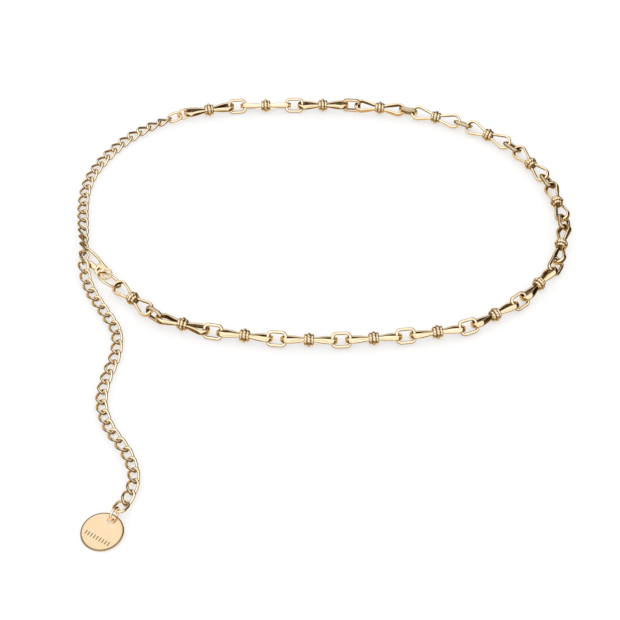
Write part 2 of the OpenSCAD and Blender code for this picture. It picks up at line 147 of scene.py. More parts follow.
# Paints shade on the sides of a swept link: the painted-shade mark is a smooth step of how far a
# section's point lies to the inner side, towards the opening, or to the outer side, as a share of
# the half width
def paintShadeOnSides(surface, section, inward, look):
    points, quads, caps, marks = surface
    across = np.broadcast_to(section, (len(points) // section.shape[-2],) + section.shape[-2:])[..., 0]
    toInside = (inward * across / np.abs(across).max(axis=-1, keepdims=True)).ravel()
    marks[:, 0] = look["inside"] * smoothStep(toInside, *look["insideFrom"])
    marks[:, 0] += look["outside"] * smoothStep(-toInside, *look["outsideFrom"])
    return points, quads, caps, marks


# Quads of a grid that is closed round each section, with a flat cap at each open end
def gridSurface(grid, closed, capped=True):
    rows, columns = grid.shape[:2]
    i = np.arange(rows if closed else rows - 1)[:, None]
    j = np.arange(columns)[None]
    nextRow = (i + 1) % rows
    nextColumn = (j + 1) % columns
    quads = np.stack(np.broadcast_arrays(i * columns + j, i * columns + nextColumn,
        nextRow * columns + nextColumn, nextRow * columns + j), axis=-1).reshape(-1, 4)
    caps = []
    if capped and not closed:
        caps = [np.arange(columns)[::-1], (rows - 1) * columns + np.arange(columns)]
    points = grid.reshape(-1, 3)
    a, b, c, d = (points[quads[:, k]] for k in range(4))
    middle = points.mean(0)
    if np.einsum("ij,ij->i", a + b + c + d - 4 * middle, np.cross(c - a, d - b)).sum() < 0:
        quads = quads[:, ::-1]
        caps = [cap[::-1] for cap in caps]
    return points, quads, caps, np.zeros((len(points), 2))


# A pillow over an outline: at angle a from edge to top the point lies between the outline and the
# nearest point of a spine line, at the share |cos a| ^ (2 / power), and |sin a| ^ (2 / power) high
def pillow(outline, spine, halfThick, power, rings=9):
    outline, spine = np.array(outline, float), np.array(spine, float)
    start, way = spine[:-1], np.diff(spine, axis=0)
    share = np.einsum("ijk,jk->ij", outline[:, None] - start, way) / (way * way).sum(1)
    nearest = start + np.clip(share, 0, 1)[..., None] * way
    gap = np.linalg.norm(outline[:, None] - nearest, axis=-1)
    inner = nearest[np.arange(len(outline)), gap.argmin(axis=1)]
    angle = np.linspace(-math.pi / 2, math.pi / 2, 2 * rings + 1)[:, None]
    reach = (np.abs(np.cos(angle)) ** (2 / power))[..., None]
    flat = inner + (outline - inner) * reach
    height = np.sign(np.sin(angle)) * np.abs(np.sin(angle)) ** (2 / power) * halfThick
    height = np.broadcast_to(height, flat.shape[:2])
    return gridSurface(np.concatenate([flat, height[..., None]], axis=-1), False, capped=False)


# Puts a surface worked out in millimetres about the origin at a place in the frame
def placed(surface, place):
    middle, axes = place
    points, quads, caps, marks = surface
    return points * mm @ axes + middle, quads, caps, marks


# One mesh object from several surfaces, in place, riding on a body. Points that fall together at
# a pole or a seam are merged. Each point keeps its marks, painted shade and grain, for the material.
def makePiece(name, surfaces, material, body, *replaced):
    allPoints, allFaces, allMarks, start = [], [], [], 0
    for points, quads, caps, marks in surfaces:
        allPoints.append(points)
        allMarks.append(marks)
        allFaces += (quads + start).tolist() + [(cap + start).tolist() for cap in caps]
        start += len(points)
    mesh = bpy.data.meshes.new(name)
    mesh.from_pydata(np.concatenate(allPoints).tolist(), [], allFaces)
    for label, values in zip(("paintedShade", "grain"), np.concatenate(allMarks).astype(np.float32).T):
        attribute = mesh.attributes.new(label, "FLOAT", "POINT")
        attribute.data.foreach_set("value", values.copy())
    work = bmesh.new()
    work.from_mesh(mesh)
    bmesh.ops.remove_doubles(work, verts=work.verts, dist=mergeGap)
    bmesh.ops.dissolve_degenerate(work, edges=work.edges, dist=mergeGap)
    work.to_mesh(mesh)
    work.free()
    mesh.polygons.foreach_set("use_smooth", np.ones(len(mesh.polygons), bool))
    mesh.materials.append(material)
    piece = bpy.data.objects.new(name, mesh)
    bpy.context.scene.collection.objects.link(piece)
    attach(piece, body)
    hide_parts(*replaced)


# Gold finishes: colour, roughness, and the dark colour of the painted shade
goldLook = {
    "knotGold": {"colour": (0.98, 0.79, 0.52), "rough": 0.05, "paintedShadeColour": (0.09, 0.045, 0.014)},
    "linkGold": {"colour": (0.98, 0.80, 0.54), "rough": 0.04, "paintedShadeColour": (0.13, 0.07, 0.02)},
    "curbGold": {"colour": (1.0, 0.82, 0.55), "rough": 0.05, "paintedShadeColour": (0.06, 0.032, 0.01)},
    "discGold": {"colour": (1.0, 0.77, 0.5), "rough": 0.11, "paintedShadeColour": (0.2, 0.13, 0.05)},
    "claspGold": {"colour": (0.98, 0.79, 0.52), "rough": 0.06, "paintedShadeColour": (0.16, 0.08, 0.025)},
}

# What all finishes share: tone patches, polishing marks, smears and granulated cells
surfaceLook = {"secondTone": (0.99, 0.955, 0.88), "patchDetail": 3, "patchRange": (0.35, 0.65),
    "markStretch": (1, 1, 0.12), "markDetail": 4, "smearScale": 260, "cellScale": 1100,
    "bumpStrength": 0.3, "bumpDepth": 0.008}


# A shader group with its input and output sockets
def newGroup(name, inputs, outputs):
    group = bpy.data.node_groups.new(name, "ShaderNodeTree")
    for label, kind, value in inputs:
        socket = group.interface.new_socket(label, in_out="INPUT", socket_type=kind)
        socket.default_value = value
    for label, kind in outputs:
        group.interface.new_socket(label, in_out="OUTPUT", socket_type=kind)
    return group, group.nodes.new("NodeGroupInput"), group.nodes.new("NodeGroupOutput")


# Soft patches of tone, as on plating that is thicker in places, and painted shade: noise mapped
# to 0..1 mixes two colours, and the painted-shade value mixes in a third, dark colour
def toneAndPaintedShadeGroup():
    group, given, result = newGroup("toneAndPaintedShade",
        [("Vector", "NodeSocketVector", (0, 0, 0)), ("Scale", "NodeSocketFloat", 120),
         ("Colour A", "NodeSocketColor", (1, 1, 1, 1)), ("Colour B", "NodeSocketColor", (1, 1, 1, 1)),
         ("Painted Shade", "NodeSocketFloat", 0), ("Painted Shade Colour", "NodeSocketColor", (0, 0, 0, 1))],
        [("Colour", "NodeSocketColor")])
    noise = group.nodes.new("ShaderNodeTexNoise")
    noise.inputs["Detail"].default_value = surfaceLook["patchDetail"]
    spread = group.nodes.new("ShaderNodeMapRange")
    spread.inputs["From Min"].default_value = surfaceLook["patchRange"][0]
    spread.inputs["From Max"].default_value = surfaceLook["patchRange"][1]
    mix = group.nodes.new("ShaderNodeMix")
    mix.data_type = "RGBA"
    paintedShadeMix = group.nodes.new("ShaderNodeMix")
    paintedShadeMix.data_type = "RGBA"
    group.links.new(given.outputs["Vector"], noise.inputs["Vector"])
    group.links.new(given.outputs["Scale"], noise.inputs["Scale"])
    group.links.new(noise.outputs["Fac"], spread.inputs["Value"])
    group.links.new(spread.outputs["Result"], mix.inputs["Factor"])
    group.links.new(given.outputs["Colour A"], mix.inputs["A"])
    group.links.new(given.outputs["Colour B"], mix.inputs["B"])
    group.links.new(given.outputs["Painted Shade"], paintedShadeMix.inputs["Factor"])
    group.links.new(mix.outputs["Result"], paintedShadeMix.inputs["A"])
    group.links.new(given.outputs["Painted Shade Colour"], paintedShadeMix.inputs["B"])
    group.links.new(paintedShadeMix.outputs["Result"], result.inputs["Colour"])
    return group


# Fine polishing marks: stretched noise gives a height, and softer noise lifts the roughness. Where
# the grain mark is 1 the metal is granulated: round cells stand up from it and it is less smooth.
def polishGroup():
    group, given, result = newGroup("polishMarks",
        [("Vector", "NodeSocketVector", (0, 0, 0)), ("Marks", "NodeSocketFloat", 900),
         ("Roughness", "NodeSocketFloat", 0.08), ("Wear", "NodeSocketFloat", 0.04),
         ("Grain", "NodeSocketFloat", 0), ("Grain Roughness", "NodeSocketFloat", 0.2),
         ("Grain Height", "NodeSocketFloat", 10)],
        [("Roughness", "NodeSocketFloat"), ("Height", "NodeSocketFloat")])
    stretch = group.nodes.new("ShaderNodeVectorMath")
    stretch.operation = "MULTIPLY"
    stretch.inputs[1].default_value = surfaceLook["markStretch"]
    marks = group.nodes.new("ShaderNodeTexNoise")
    marks.inputs["Detail"].default_value = surfaceLook["markDetail"]
    smears = group.nodes.new("ShaderNodeTexNoise")
    smears.inputs["Scale"].default_value = surfaceLook["smearScale"]
    add = group.nodes.new("ShaderNodeMath")
    add.operation = "MULTIPLY_ADD"
    group.links.new(given.outputs["Vector"], stretch.inputs[0])
    group.links.new(stretch.outputs[0], marks.inputs["Vector"])
    group.links.new(given.outputs["Marks"], marks.inputs["Scale"])
    group.links.new(given.outputs["Vector"], smears.inputs["Vector"])
    group.links.new(smears.outputs["Fac"], add.inputs[0])
    group.links.new(given.outputs["Wear"], add.inputs[1])
    group.links.new(given.outputs["Roughness"], add.inputs[2])
    cells = group.nodes.new("ShaderNodeTexVoronoi")
    cells.inputs["Scale"].default_value = surfaceLook["cellScale"]
    rougher = group.nodes.new("ShaderNodeMath")
    rougher.operation = "MULTIPLY_ADD"
    grainShare = group.nodes.new("ShaderNodeMath")
    grainShare.operation = "MULTIPLY"
    raised = group.nodes.new("ShaderNodeMath")
    raised.operation = "MULTIPLY"
    height = group.nodes.new("ShaderNodeMath")
    height.operation = "SUBTRACT"
    group.links.new(given.outputs["Grain"], rougher.inputs[0])
    group.links.new(given.outputs["Grain Roughness"], rougher.inputs[1])
    group.links.new(add.outputs[0], rougher.inputs[2])
    group.links.new(rougher.outputs[0], result.inputs["Roughness"])
    group.links.new(given.outputs["Vector"], cells.inputs["Vector"])
    group.links.new(given.outputs["Grain"], grainShare.inputs[0])
    group.links.new(given.outputs["Grain Height"], grainShare.inputs[1])
    group.links.new(cells.outputs["Distance"], raised.inputs[0])
    group.links.new(grainShare.outputs[0], raised.inputs[1])
    group.links.new(marks.outputs["Fac"], height.inputs[0])
    group.links.new(raised.outputs[0], height.inputs[1])
    group.links.new(height.outputs[0], result.inputs["Height"])
    return group


toneAndPaintedShade = toneAndPaintedShadeGroup()
polishMarks = polishGroup()


# One finish: the tone group gives its colour, with patches that the second tone multiplies and
# with painted shade, and the polish group gives its roughness and the height of its marks
def goldMaterial(name):
    look = goldLook[name]
    material = bpy.data.materials.new(name)
    material.use_nodes = True
    tree = material.node_tree
    shader = tree.nodes["Principled BSDF"]
    shader.inputs["Metallic"].default_value = 1
    place = tree.nodes.new("ShaderNodeTexCoord")
    paintedShade = tree.nodes.new("ShaderNodeAttribute")
    paintedShade.attribute_name = "paintedShade"
    grain = tree.nodes.new("ShaderNodeAttribute")
    grain.attribute_name = "grain"
    tone = tree.nodes.new("ShaderNodeGroup")
    tone.node_tree = toneAndPaintedShade
    colour = np.array(look["colour"])
    tone.inputs["Colour A"].default_value = (*colour, 1)
    tone.inputs["Colour B"].default_value = (*(colour * surfaceLook["secondTone"]), 1)
    tone.inputs["Painted Shade Colour"].default_value = (*look["paintedShadeColour"], 1)
    polish = tree.nodes.new("ShaderNodeGroup")
    polish.node_tree = polishMarks
    polish.inputs["Roughness"].default_value = look["rough"]
    bump = tree.nodes.new("ShaderNodeBump")
    bump.inputs["Strength"].default_value = surfaceLook["bumpStrength"]
    bump.inputs["Distance"].default_value = surfaceLook["bumpDepth"] * mm
    tree.links.new(place.outputs["Object"], tone.inputs["Vector"])
    tree.links.new(paintedShade.outputs["Fac"], tone.inputs["Painted Shade"])
    tree.links.new(place.outputs["Object"], polish.inputs["Vector"])
    tree.links.new(grain.outputs["Fac"], polish.inputs["Grain"])
    tree.links.new(tone.outputs["Colour"], shader.inputs["Base Color"])
    tree.links.new(polish.outputs["Roughness"], shader.inputs["Roughness"])
    tree.links.new(polish.outputs["Height"], bump.inputs["Height"])
    tree.links.new(bump.outputs["Normal"], shader.inputs["Normal"])
    return material


gold = {name: goldMaterial(name) for name in goldLook}
print("materials made:", len(gold))

# Knot links: two teardrop loops of flat band, and a bead of three roped ribs. The inside, outside,
# between, low and core values set painted shade.
knot = {"length": 29.4, "loopWidth": 8.4, "thick": 1.4, "depth": 2.8, "neckDepth": 2.0,
    "widening": 5, "neck": 2.2, "power": 3.2, "beadWidth": 7.4, "sideRib": 6.0,
    "inside": 0.9, "insideFrom": (0.7, 0.98), "outside": 0, "outsideFrom": (0.7, 1),
    "rib": 1.9, "pitch": 1.7, "middleStrands": 12, "sideStrands": 10, "sidePhase": 1.6, "notch": 0.16,
    "betweenDark": 0.4, "lowDark": 0.8, "lowFrom": (-0.6, 0.2), "coreDark": 0.7, "coreNeck": 0.8}


# One teardrop loop: two straight bars leave the bead and meet a round end at their tangents, and
# the band grows deeper by a smooth step on its way from the bead. Its inner side gets painted shade.
def teardrop(sign):
    r = (knot["loopWidth"] - knot["thick"]) / 2
    middle = knot["length"] / 2 - knot["loopWidth"] / 2
    start = np.array([knot["pitch"], knot["neck"] / 2])
    toMiddle = np.array([middle, 0]) - start
    slope = math.atan2(toMiddle[1], toMiddle[0]) + math.asin(r / np.linalg.norm(toMiddle))
    angles = np.linspace(math.pi / 2 + slope, -math.pi / 2 - slope, 44)
    arc = np.stack([middle + r * np.cos(angles), r * np.sin(angles)], axis=-1)
    share = np.linspace(0, 1, 20, endpoint=False)[:, None]
    bar = start + (arc[0] - start) * share
    path = np.concatenate([bar, arc, bar[::-1] * (1, -1)])
    path = np.column_stack([path * (sign, 1), np.zeros(len(path))])
    fromBead = smoothStep(np.abs(path[:, 0]) - knot["pitch"] - knot["rib"] / 2, 0, knot["widening"])
    deep = knot["neckDepth"] + (knot["depth"] - knot["neckDepth"]) * fromBead
    section = roundedSection(np.full(len(path), knot["thick"] / 2), deep / 2, knot["power"], 26)
    surface = sweep(path, np.broadcast_to([0.0, 0.0, 1.0], path.shape), section, False)
    return paintShadeOnSides(surface, section, -sign, knot)


# One rib: a ring whose tube is r * (1 - notch * (1 - cos(n * turn + angle)) / 2) thick, so that it
# looks like a rope of n strands. Painted shade grows between strands and towards the core.
def ropedRib(x, width, strands, phase):
    tube = knot["rib"] / 2
    turn = np.linspace(0, 2 * math.pi, 8 * strands, endpoint=False)[:, None]
    angle = np.linspace(0, 2 * math.pi, 16, endpoint=False)[None]
    between = (1 - np.cos(strands * turn + angle + phase)) / 2
    size = tube * (1 - knot["notch"] * between)
    radius = width / 2 - tube + size * np.sin(angle)
    along = x + size * np.cos(angle)
    grid = np.stack([along, radius * np.cos(turn), radius * np.sin(turn)], axis=-1)
    points, quads, caps, _ = gridSurface(grid, True)
    low = smoothStep(-np.sin(angle), *knot["lowFrom"])
    paintedShade = np.clip(knot["betweenDark"] * between ** 4 + knot["lowDark"] * low, 0, 1)
    return points, quads, caps, np.column_stack([paintedShade.ravel(), np.ones(paintedShade.size)])


# The core under the ribs: a barrel through the ribs' middles, with a flat neck at each end, and
# painted shade all over it
def beadCore():
    side = knot["sideRib"] / 2 - knot["rib"] / 2
    middle = knot["beadWidth"] / 2 - knot["rib"] / 2
    end = knot["pitch"] + knot["rib"] / 3
    x = np.array([-end, -end, -knot["pitch"], 0, knot["pitch"], end, end])
    neck = knot["coreNeck"]
    radius = np.array([neck, side, side, middle, side, side, neck])[:, None]
    turn = np.linspace(0, 2 * math.pi, 48, endpoint=False)[None]
    grid = np.stack([x[:, None] + 0 * turn, radius * np.cos(turn), radius * np.sin(turn)], axis=-1)
    points, quads, caps, marks = gridSurface(grid, False)
    return points, quads, caps, marks + knot["coreDark"]


# A knot link along x: the roped ribs round their core, and the two teardrops
def knotForm():
    ribs = [ropedRib(0, knot["beadWidth"], knot["middleStrands"], 0)]
    for side in (-1, 1):
        ribs.append(ropedRib(side * knot["pitch"], knot["sideRib"], knot["sideStrands"],
            knot["sidePhase"]))
    return ribs + [beadCore(), teardrop(1), teardrop(-1)]


knotSurfaces = knotForm()
knotNames = sorted(name for name in nodes if name.startswith("knot_link"))
for name in knotNames:
    place = nodePlaces(name)[0]
    makePiece("smooth_" + name, [placed(surface, place) for surface in knotSurfaces],
        gold["knotGold"], "chain", name)
print("knot links made:", len(knotNames))

# Connectors: rounded rectangles of band between the knot links, a hair smaller than the solids, so
# that their round sides stay inside the solids' box. Their inner and outer sides get painted shade.
connector = {"length": 10.75, "width": 8.55, "thick": 1.7, "depth": 1.96, "corner": 3.0, "power": 2.4,
    "inside": 0.9, "insideFrom": (0.6, 0.92), "outside": 0.5, "outsideFrom": (0.65, 0.95)}


# A rounded rectangle: four arcs, each joined to the next by the straight line between them. Where
# two arcs meet without a line, the doubled point goes.
def roundedRectangle(length, width, corner, arcPoints, barPoints):
    turns = np.linspace(0, math.pi / 2, arcPoints)
    arcs = []
    for k, (sideX, sideY) in enumerate(((1, 1), (-1, 1), (-1, -1), (1, -1))):
        centre = np.array([sideX * (length / 2 - corner), sideY * (width / 2 - corner)])
        angle = turns + k * math.pi / 2
        arcs.append(centre + corner * np.stack([np.cos(angle), np.sin(angle)], axis=-1))
    outline = []
    for k in range(4):
        first, second = arcs[k][-1], arcs[(k + 1) % 4][0]
        share = np.linspace(0, 1, barPoints + 2)[1:-1, None]
        outline += [arcs[k], first + (second - first) * share]
    outline = np.concatenate(outline)
    apart = np.linalg.norm(outline - np.roll(outline, 1, axis=0), axis=1) > 1e-6
    outline = outline[apart]
    return np.column_stack([outline, np.zeros(len(outline))])


# A connector: the band's section carried round a rounded rectangle
def connectorForm():
    path = roundedRectangle(connector["length"] - connector["thick"],
        connector["width"] - connector["thick"], connector["corner"] - connector["thick"] / 2, 14, 8)
    section = roundedSection(connector["thick"] / 2, connector["depth"] / 2, connector["power"], 28)
    surface = sweep(path, np.broadcast_to([0.0, 0.0, 1.0], path.shape), section, True)
    return paintShadeOnSides(surface, section, 1, connector)


connectorSurface = connectorForm()
connectorNames = sorted(name for name in nodes if name.startswith("connector"))
for name in connectorNames:
    makePiece("smooth_" + name, [placed(connectorSurface, nodePlaces(name)[0])],
        gold["linkGold"], "chain", name)
print("connectors made:", len(connectorNames))

# Curb chain and tail: links of round wire, each turned half a right angle either way at its ends,
# and a hair smaller than the solids too. Their inner and outer sides get painted shade.
curb = {"length": 9.5, "width": 6.14, "wire": 1.34, "twist": 45,
    "inside": 0.85, "insideFrom": (0.8, 0.98), "outside": 0.85, "outsideFrom": (0.74, 0.96)}


# A racetrack whose cross direction turns with x: (x, y cos a, y sin a), a = -twist * x / half
def curbForm():
    half = (curb["length"] - curb["wire"]) / 2
    r = (curb["width"] - curb["wire"]) / 2
    path = roundedRectangle(2 * half, 2 * r, r, 16, 10)
    turn = -math.radians(curb["twist"]) * path[:, 0] / half
    twisted = np.column_stack([path[:, 0], path[:, 1] * np.cos(turn), path[:, 1] * np.sin(turn)])
    up = np.column_stack([np.zeros(len(turn)), -np.sin(turn), np.cos(turn)])
    section = roundedSection(curb["wire"] / 2, curb["wire"] / 2, 2, 18)
    return paintShadeOnSides(sweep(twisted, up, section, True), section, 1, curb)


curbSurface = curbForm()
for name in ("curb_chain", "tail_chain"):
    places = nodePlaces(name)
    makePiece("smooth_" + name, [placed(curbSurface, place) for place in places],
        gold["curbGold"], "chain", name)
    print(name, "made:", len(places), "links")

# Plain links and rings of round wire
plainLinks = {"start_link": {"length": 9.4, "width": 7.2, "wire": 1.4},
    "end_link": {"length": 9.4, "width": 7.2, "wire": 1.4},
    "start_ring": {"length": 7, "width": 7, "wire": 1.2},
    "tag_ring": {"length": 7.9, "width": 7.9, "wire": 1.2},
    "clasp_ring": {"length": 14, "width": 14, "wire": 1.4}}


# A racetrack of round wire; with length and width alike it is a ring
def wireLink(length, width, wire):
    path = roundedRectangle(length - wire, width - wire, (width - wire) / 2, 30, 6)
    section = roundedSection(wire / 2, wire / 2, 2, 24)
    return sweep(path, np.broadcast_to([0.0, 0.0, 1.0], path.shape), section, True)


for name, size in plainLinks.items():
    makePiece("smooth_" + name, [placed(wireLink(**size), nodePlaces(name)[0])],
        gold["linkGold"], "chain", name)
print("rings and plain links made:", len(plainLinks))

# Disc: thin round plate with a hole near its edge and a row of plain ticks
disc = {"width": 20.4, "thick": 1.0, "hole": 3.2, "holeEdge": 1.8, "rimRound": 1.0, "holeRound": 0.25,
    "ticks": 9, "tickLength": 2.3, "tickWidth": 0.5, "tickDeep": 0.15, "tickPitch": 1.6,
    "tickRow": 0.19, "rimFall": 0.8, "tickEdge": (0.08, 0.05), "rowEdge": 0.1, "rimDark": 1,
    "edgeSteps": 7, "rows": 110, "turns": 320}


# The disc's middle is the middle of its corners' box in its own plane, its hole lies on the side
# away from the centre of mass, and its face looks up
def discPlace():
    points, triangles = meshArrays("tag_disc")
    centre, axes = solidPlace(points, triangles)
    own = (points - centre) @ axes.T
    middle = centre + (own.min(0) + own.max(0)) / 2 @ axes
    face = axes[2] * np.sign(axes[2][2])
    fromHole = centre - middle
    fromHole -= face * (fromHole @ face)
    fromHole /= np.linalg.norm(fromHole)
    return middle, np.array([fromHole, np.cross(face, fromHole), face])


# The face runs from the hole's edge to the rim: point(u, turn) lies on the circle between the two
# whose middle and radius are the mixes of theirs by u. Both edges are quarter rounds, and the
# ticks are pressed into the upper face by smooth steps across and along each one. The ticks' floors
# carry painted shade, and the rim's edge a painted dark line, darkest at the middle of its round.
def discForm():
    holeR = disc["hole"] / 2
    rimR = disc["width"] / 2
    half = disc["thick"] / 2
    holeX = -(rimR - disc["holeEdge"] - holeR)
    turn = np.linspace(0, 2 * math.pi, disc["turns"], endpoint=False)[None]
    quarter = np.linspace(0, math.pi / 2, disc["edgeSteps"])
    back = 1 - np.sin(quarter)
    fall = 1 - np.cos(quarter)
    flat = np.linspace(0, 1, disc["rows"])[1:-1]
    u = np.concatenate([np.zeros(len(quarter)), flat, np.ones(len(quarter))])
    push = np.concatenate([disc["holeRound"] * back[::-1],
        disc["holeRound"] * (1 - flat) - disc["rimRound"] * flat, -disc["rimRound"] * back])
    height = np.concatenate([half - disc["holeRound"] * fall[::-1], np.full(len(flat), half),
        half - disc["rimFall"] * half * fall])
    radius = (holeR * (1 - u) + rimR * u + push)[:, None]
    x = holeX * (1 - u)[:, None] + radius * np.cos(turn)
    y = radius * np.sin(turn)
    across = np.abs((y / disc["tickPitch"] + disc["ticks"] / 2) % 1 - 0.5) * disc["tickPitch"]
    along = np.abs(x - disc["tickRow"] * disc["width"])
    tick = smoothStep(disc["ticks"] * disc["tickPitch"] / 2 - np.abs(y), 0, disc["rowEdge"])
    within, beyond = disc["tickEdge"]
    for away, reach in ((across, disc["tickWidth"] / 2), (along, disc["tickLength"] / 2)):
        tick = tick * (1 - smoothStep(away, reach - within, reach + beyond))
    top = np.stack([x, y, height[:, None] - disc["tickDeep"] * tick], axis=-1)
    bottom = np.stack([x, y, np.broadcast_to(-height[:, None], x.shape)], axis=-1)[::-1]
    grid = np.concatenate([top, bottom])
    points, quads, caps, _ = gridSurface(grid, True)
    rim = np.concatenate([np.zeros(len(quarter) + len(flat)), disc["rimDark"] * np.sin(2 * quarter)])
    rim = rim[:, None]
    paintedShade = np.concatenate([tick + rim, np.zeros_like(tick)]).ravel()
    return points, quads, caps, np.column_stack([paintedShade, np.zeros_like(paintedShade)])


makePiece("smooth_tag_disc", [placed(discForm(), discPlace())], gold["discGold"], "chain", "tag_disc")
print("disc made")

# Clasp, in its own lines: x from the eye's end to the nose, y towards the lever's side, z across.
# The frame's hinge and the body's centre of mass fix where these lines lie. The pairs of numbers
# give where along x the hook thins, swells from its start, and the lever leaves its slot.
clasp = {"length": 26, "width": 7.6, "thick": 2.8, "hookThick": 2.0, "bar": 1.5, "eyeEnd": 3.1,
    "eye": 4.3, "eyeThick": 1.1, "pin": 1.2, "lever": 1.2, "slot": 1.6, "hookEnd": 110,
    "pivot": (7.54, 1.824), "bodyCentre": (13.3146, -0.9038), "hookRound": 2.5,
    "thins": (9.8, 12.4), "swells": (5.2, 6.4), "slimUntil": (10.9, 12.2), "pillowRound": 2.3,
    "eyeRound": 2.6, "pinLift": 0.22, "pinSink": 0.06, "startWide": 0.7, "startThick": 0.45,
    "tipRows": 6, "tipReach": 6.4,
    "inside": 0.8, "insideFrom": (0.4, 0.9), "outside": 0, "outsideFrom": (0.7, 1)}


# The clasp's place: z is the hinge's axis, and the line from pivot to centre of mass has the angle
# in the frame that it has in the clasp's own lines
def claspPlace():
    hinge = next(joint for joint in frame["joints"] if joint["name"] == "lever_hinge")
    across = -np.array(hinge["axis"])
    across /= np.linalg.norm(across)
    pivot = np.array(hinge["pos_m"])
    toCentre = solidPlace(*meshArrays("clasp_body"))[0] - pivot
    toCentre -= across * (toCentre @ across)
    toCentre /= np.linalg.norm(toCentre)
    ownPivot, ownCentre = np.array(clasp["pivot"]), np.array(clasp["bodyCentre"])
    angle = math.atan2(*(ownCentre - ownPivot)[::-1])
    beside = np.cross(across, toCentre)
    along = math.cos(angle) * toCentre - math.sin(angle) * beside
    side = np.cross(across, along)
    return pivot - (ownPivot[0] * along + ownPivot[1] * side) * mm, np.array([along, side, across])


# The eye's outline as angle in degrees and radius: round at the end, wide where it joins the body
eyeOutline = [(-180, 3.1), (-110, 3.1), (-54, 3.5), (-40, 4.4), (0, 3.6), (47, 4.9), (62, 3.9),
    (110, 3.1), (180, 3.1)]


# The eye: at each turn the metal reaches from the hole to the outline, in a rounded section
def eyeForm():
    turn = np.linspace(-180, 180, 120, endpoint=False)
    outline = np.interp(turn, *np.transpose(eyeOutline))
    inside = clasp["eye"] / 2
    middle, half = (outline + inside) / 2, (outline - inside) / 2
    section = roundedSection(half, np.full(len(turn), clasp["eyeThick"] / 2),
        clasp["eyeRound"], 20)
    radians = np.radians(turn)[:, None]
    reach = middle[:, None] + section[..., 0]
    grid = np.stack([clasp["eyeEnd"] + reach * np.cos(radians), reach * np.sin(radians),
        section[..., 1]], axis=-1)
    return gridSurface(grid, True)


# The hook's back: x, the middle line's y and half the bar's width, up to where the nose begins
hookBack = [(5.4, -1.7, 1.15), (8.8, -1.95, 1.15), (10.2, -2.2, 1.1), (11.6, -2.66, 0.78),
    (14.3, -3.05, 0.7), (18.2, -3.12, 0.78), (22.2, -3.05, 0.75)]


# The hook: one bar from beside the eye along the back, round the nose and back to its tip, as a
# section of changing width and thickness carried along its middle line. It starts slim, and its
# last rows shrink like a circle's: sqrt(1 - (row / reach)^2).
# Its inner side, towards the opening, gets painted shade.
def hookForm():
    noseR = clasp["width"] / 2
    noseX = clasp["length"] - noseR
    middleR = noseR - clasp["bar"] / 2
    turn = np.radians(np.linspace(-90, clasp["hookEnd"], 44))
    arc = np.column_stack([noseX + middleR * np.cos(turn), middleR * np.sin(turn)])
    backX, backY, backWide = np.transpose(hookBack)
    x = np.linspace(backX[0], noseX, 60)[:-1]
    y = np.interp(x, backX, backY)
    path = np.concatenate([np.column_stack([x, y]), arc])
    for _ in range(4):  # the joints of the straight stretches are smoothed
        path[1:-1] = (path[:-2] + 2 * path[1:-1] + path[2:]) / 4
    path = np.column_stack([path, np.zeros(len(path))])
    run = np.concatenate([x, np.full(len(arc), noseX)])
    wide = np.interp(run, backX, backWide)
    thick = clasp["thick"] + (clasp["hookThick"] - clasp["thick"]) * smoothStep(run, *clasp["thins"])
    fromStart = smoothStep(run, *clasp["swells"])
    wide = wide * (clasp["startWide"] + (1 - clasp["startWide"]) * fromStart)
    thick = thick * (clasp["startThick"] + (1 - clasp["startThick"]) * fromStart)
    rows = clasp["tipRows"]
    tip = np.ones(len(path))
    tip[-rows:] = np.sqrt(1 - (np.arange(1, rows + 1) / clasp["tipReach"]) ** 2)
    section = roundedSection(wide * tip, thick / 2 * tip, clasp["hookRound"], 26)
    surface = sweep(path, np.broadcast_to([0.0, 0.0, 1.0], path.shape), section, False)
    return paintShadeOnSides(surface, section, 1, clasp)


# The two cheeks that hold the lever: pillows of one outline, above and below its slot
cheekOutline = [(5.9, -1.4), (8, -1.6), (10.6, -1.2), (10.9, 0.2), (10.6, 1.9), (9.9, 3.1),
    (8.6, 3.75), (7, 3.75), (5.9, 3.2), (5.5, 1.6), (5.55, 0)]
cheekSpine = [(7.2, -0.2), (7.6, 2.2), (8.8, 2.2), (9.1, -0.2)]


# A cheek on one side of the slot
def cheekForm(side):
    half = (clasp["thick"] - clasp["slot"]) / 4
    points, quads, caps, marks = pillow(smoothLoop(cheekOutline, 6), cheekSpine, half,
        clasp["pillowRound"])
    return points + (0, 0, side * (clasp["slot"] / 2 + half)), quads, caps, marks


pinAngles = [-60, -25, 0, 20, 40, 60, 75, 88]


# The pin's head: a low dome on each cheek, r * cos a wide and h * sin a high
def pinHead(side):
    angle = np.radians(pinAngles)[:, None]
    turn = np.linspace(0, 2 * math.pi, 32, endpoint=False)[None]
    radius = clasp["pin"] / 2 * np.cos(angle)
    x, y = clasp["pivot"][0] + radius * np.cos(turn), clasp["pivot"][1] + radius * np.sin(turn)
    z = side * (clasp["thick"] / 2 - clasp["pinSink"] + clasp["pinLift"] * np.sin(angle)) + 0 * turn
    return gridSurface(np.stack([x, y, z], axis=-1), False)


# The lever's outline as shares of the clasp's length and width, and the line its pillow rises to
leverShares = [(0.222, 0.24), (0.25, 0.07), (0.315, 0.03), (0.42, 0.04), (0.54, 0.05), (0.61, 0.09),
    (0.67, 0.18), (0.68, 0.29), (0.655, 0.4), (0.62, 0.47), (0.59, 0.58), (0.55, 0.59), (0.51, 0.46),
    (0.42, 0.41), (0.35, 0.44), (0.27, 0.42)]
leverSpine = [(7.2, 1.8), (9.5, 1.7), (12.5, 1.7), (15.2, 2.2), (16.4, 2.6)]


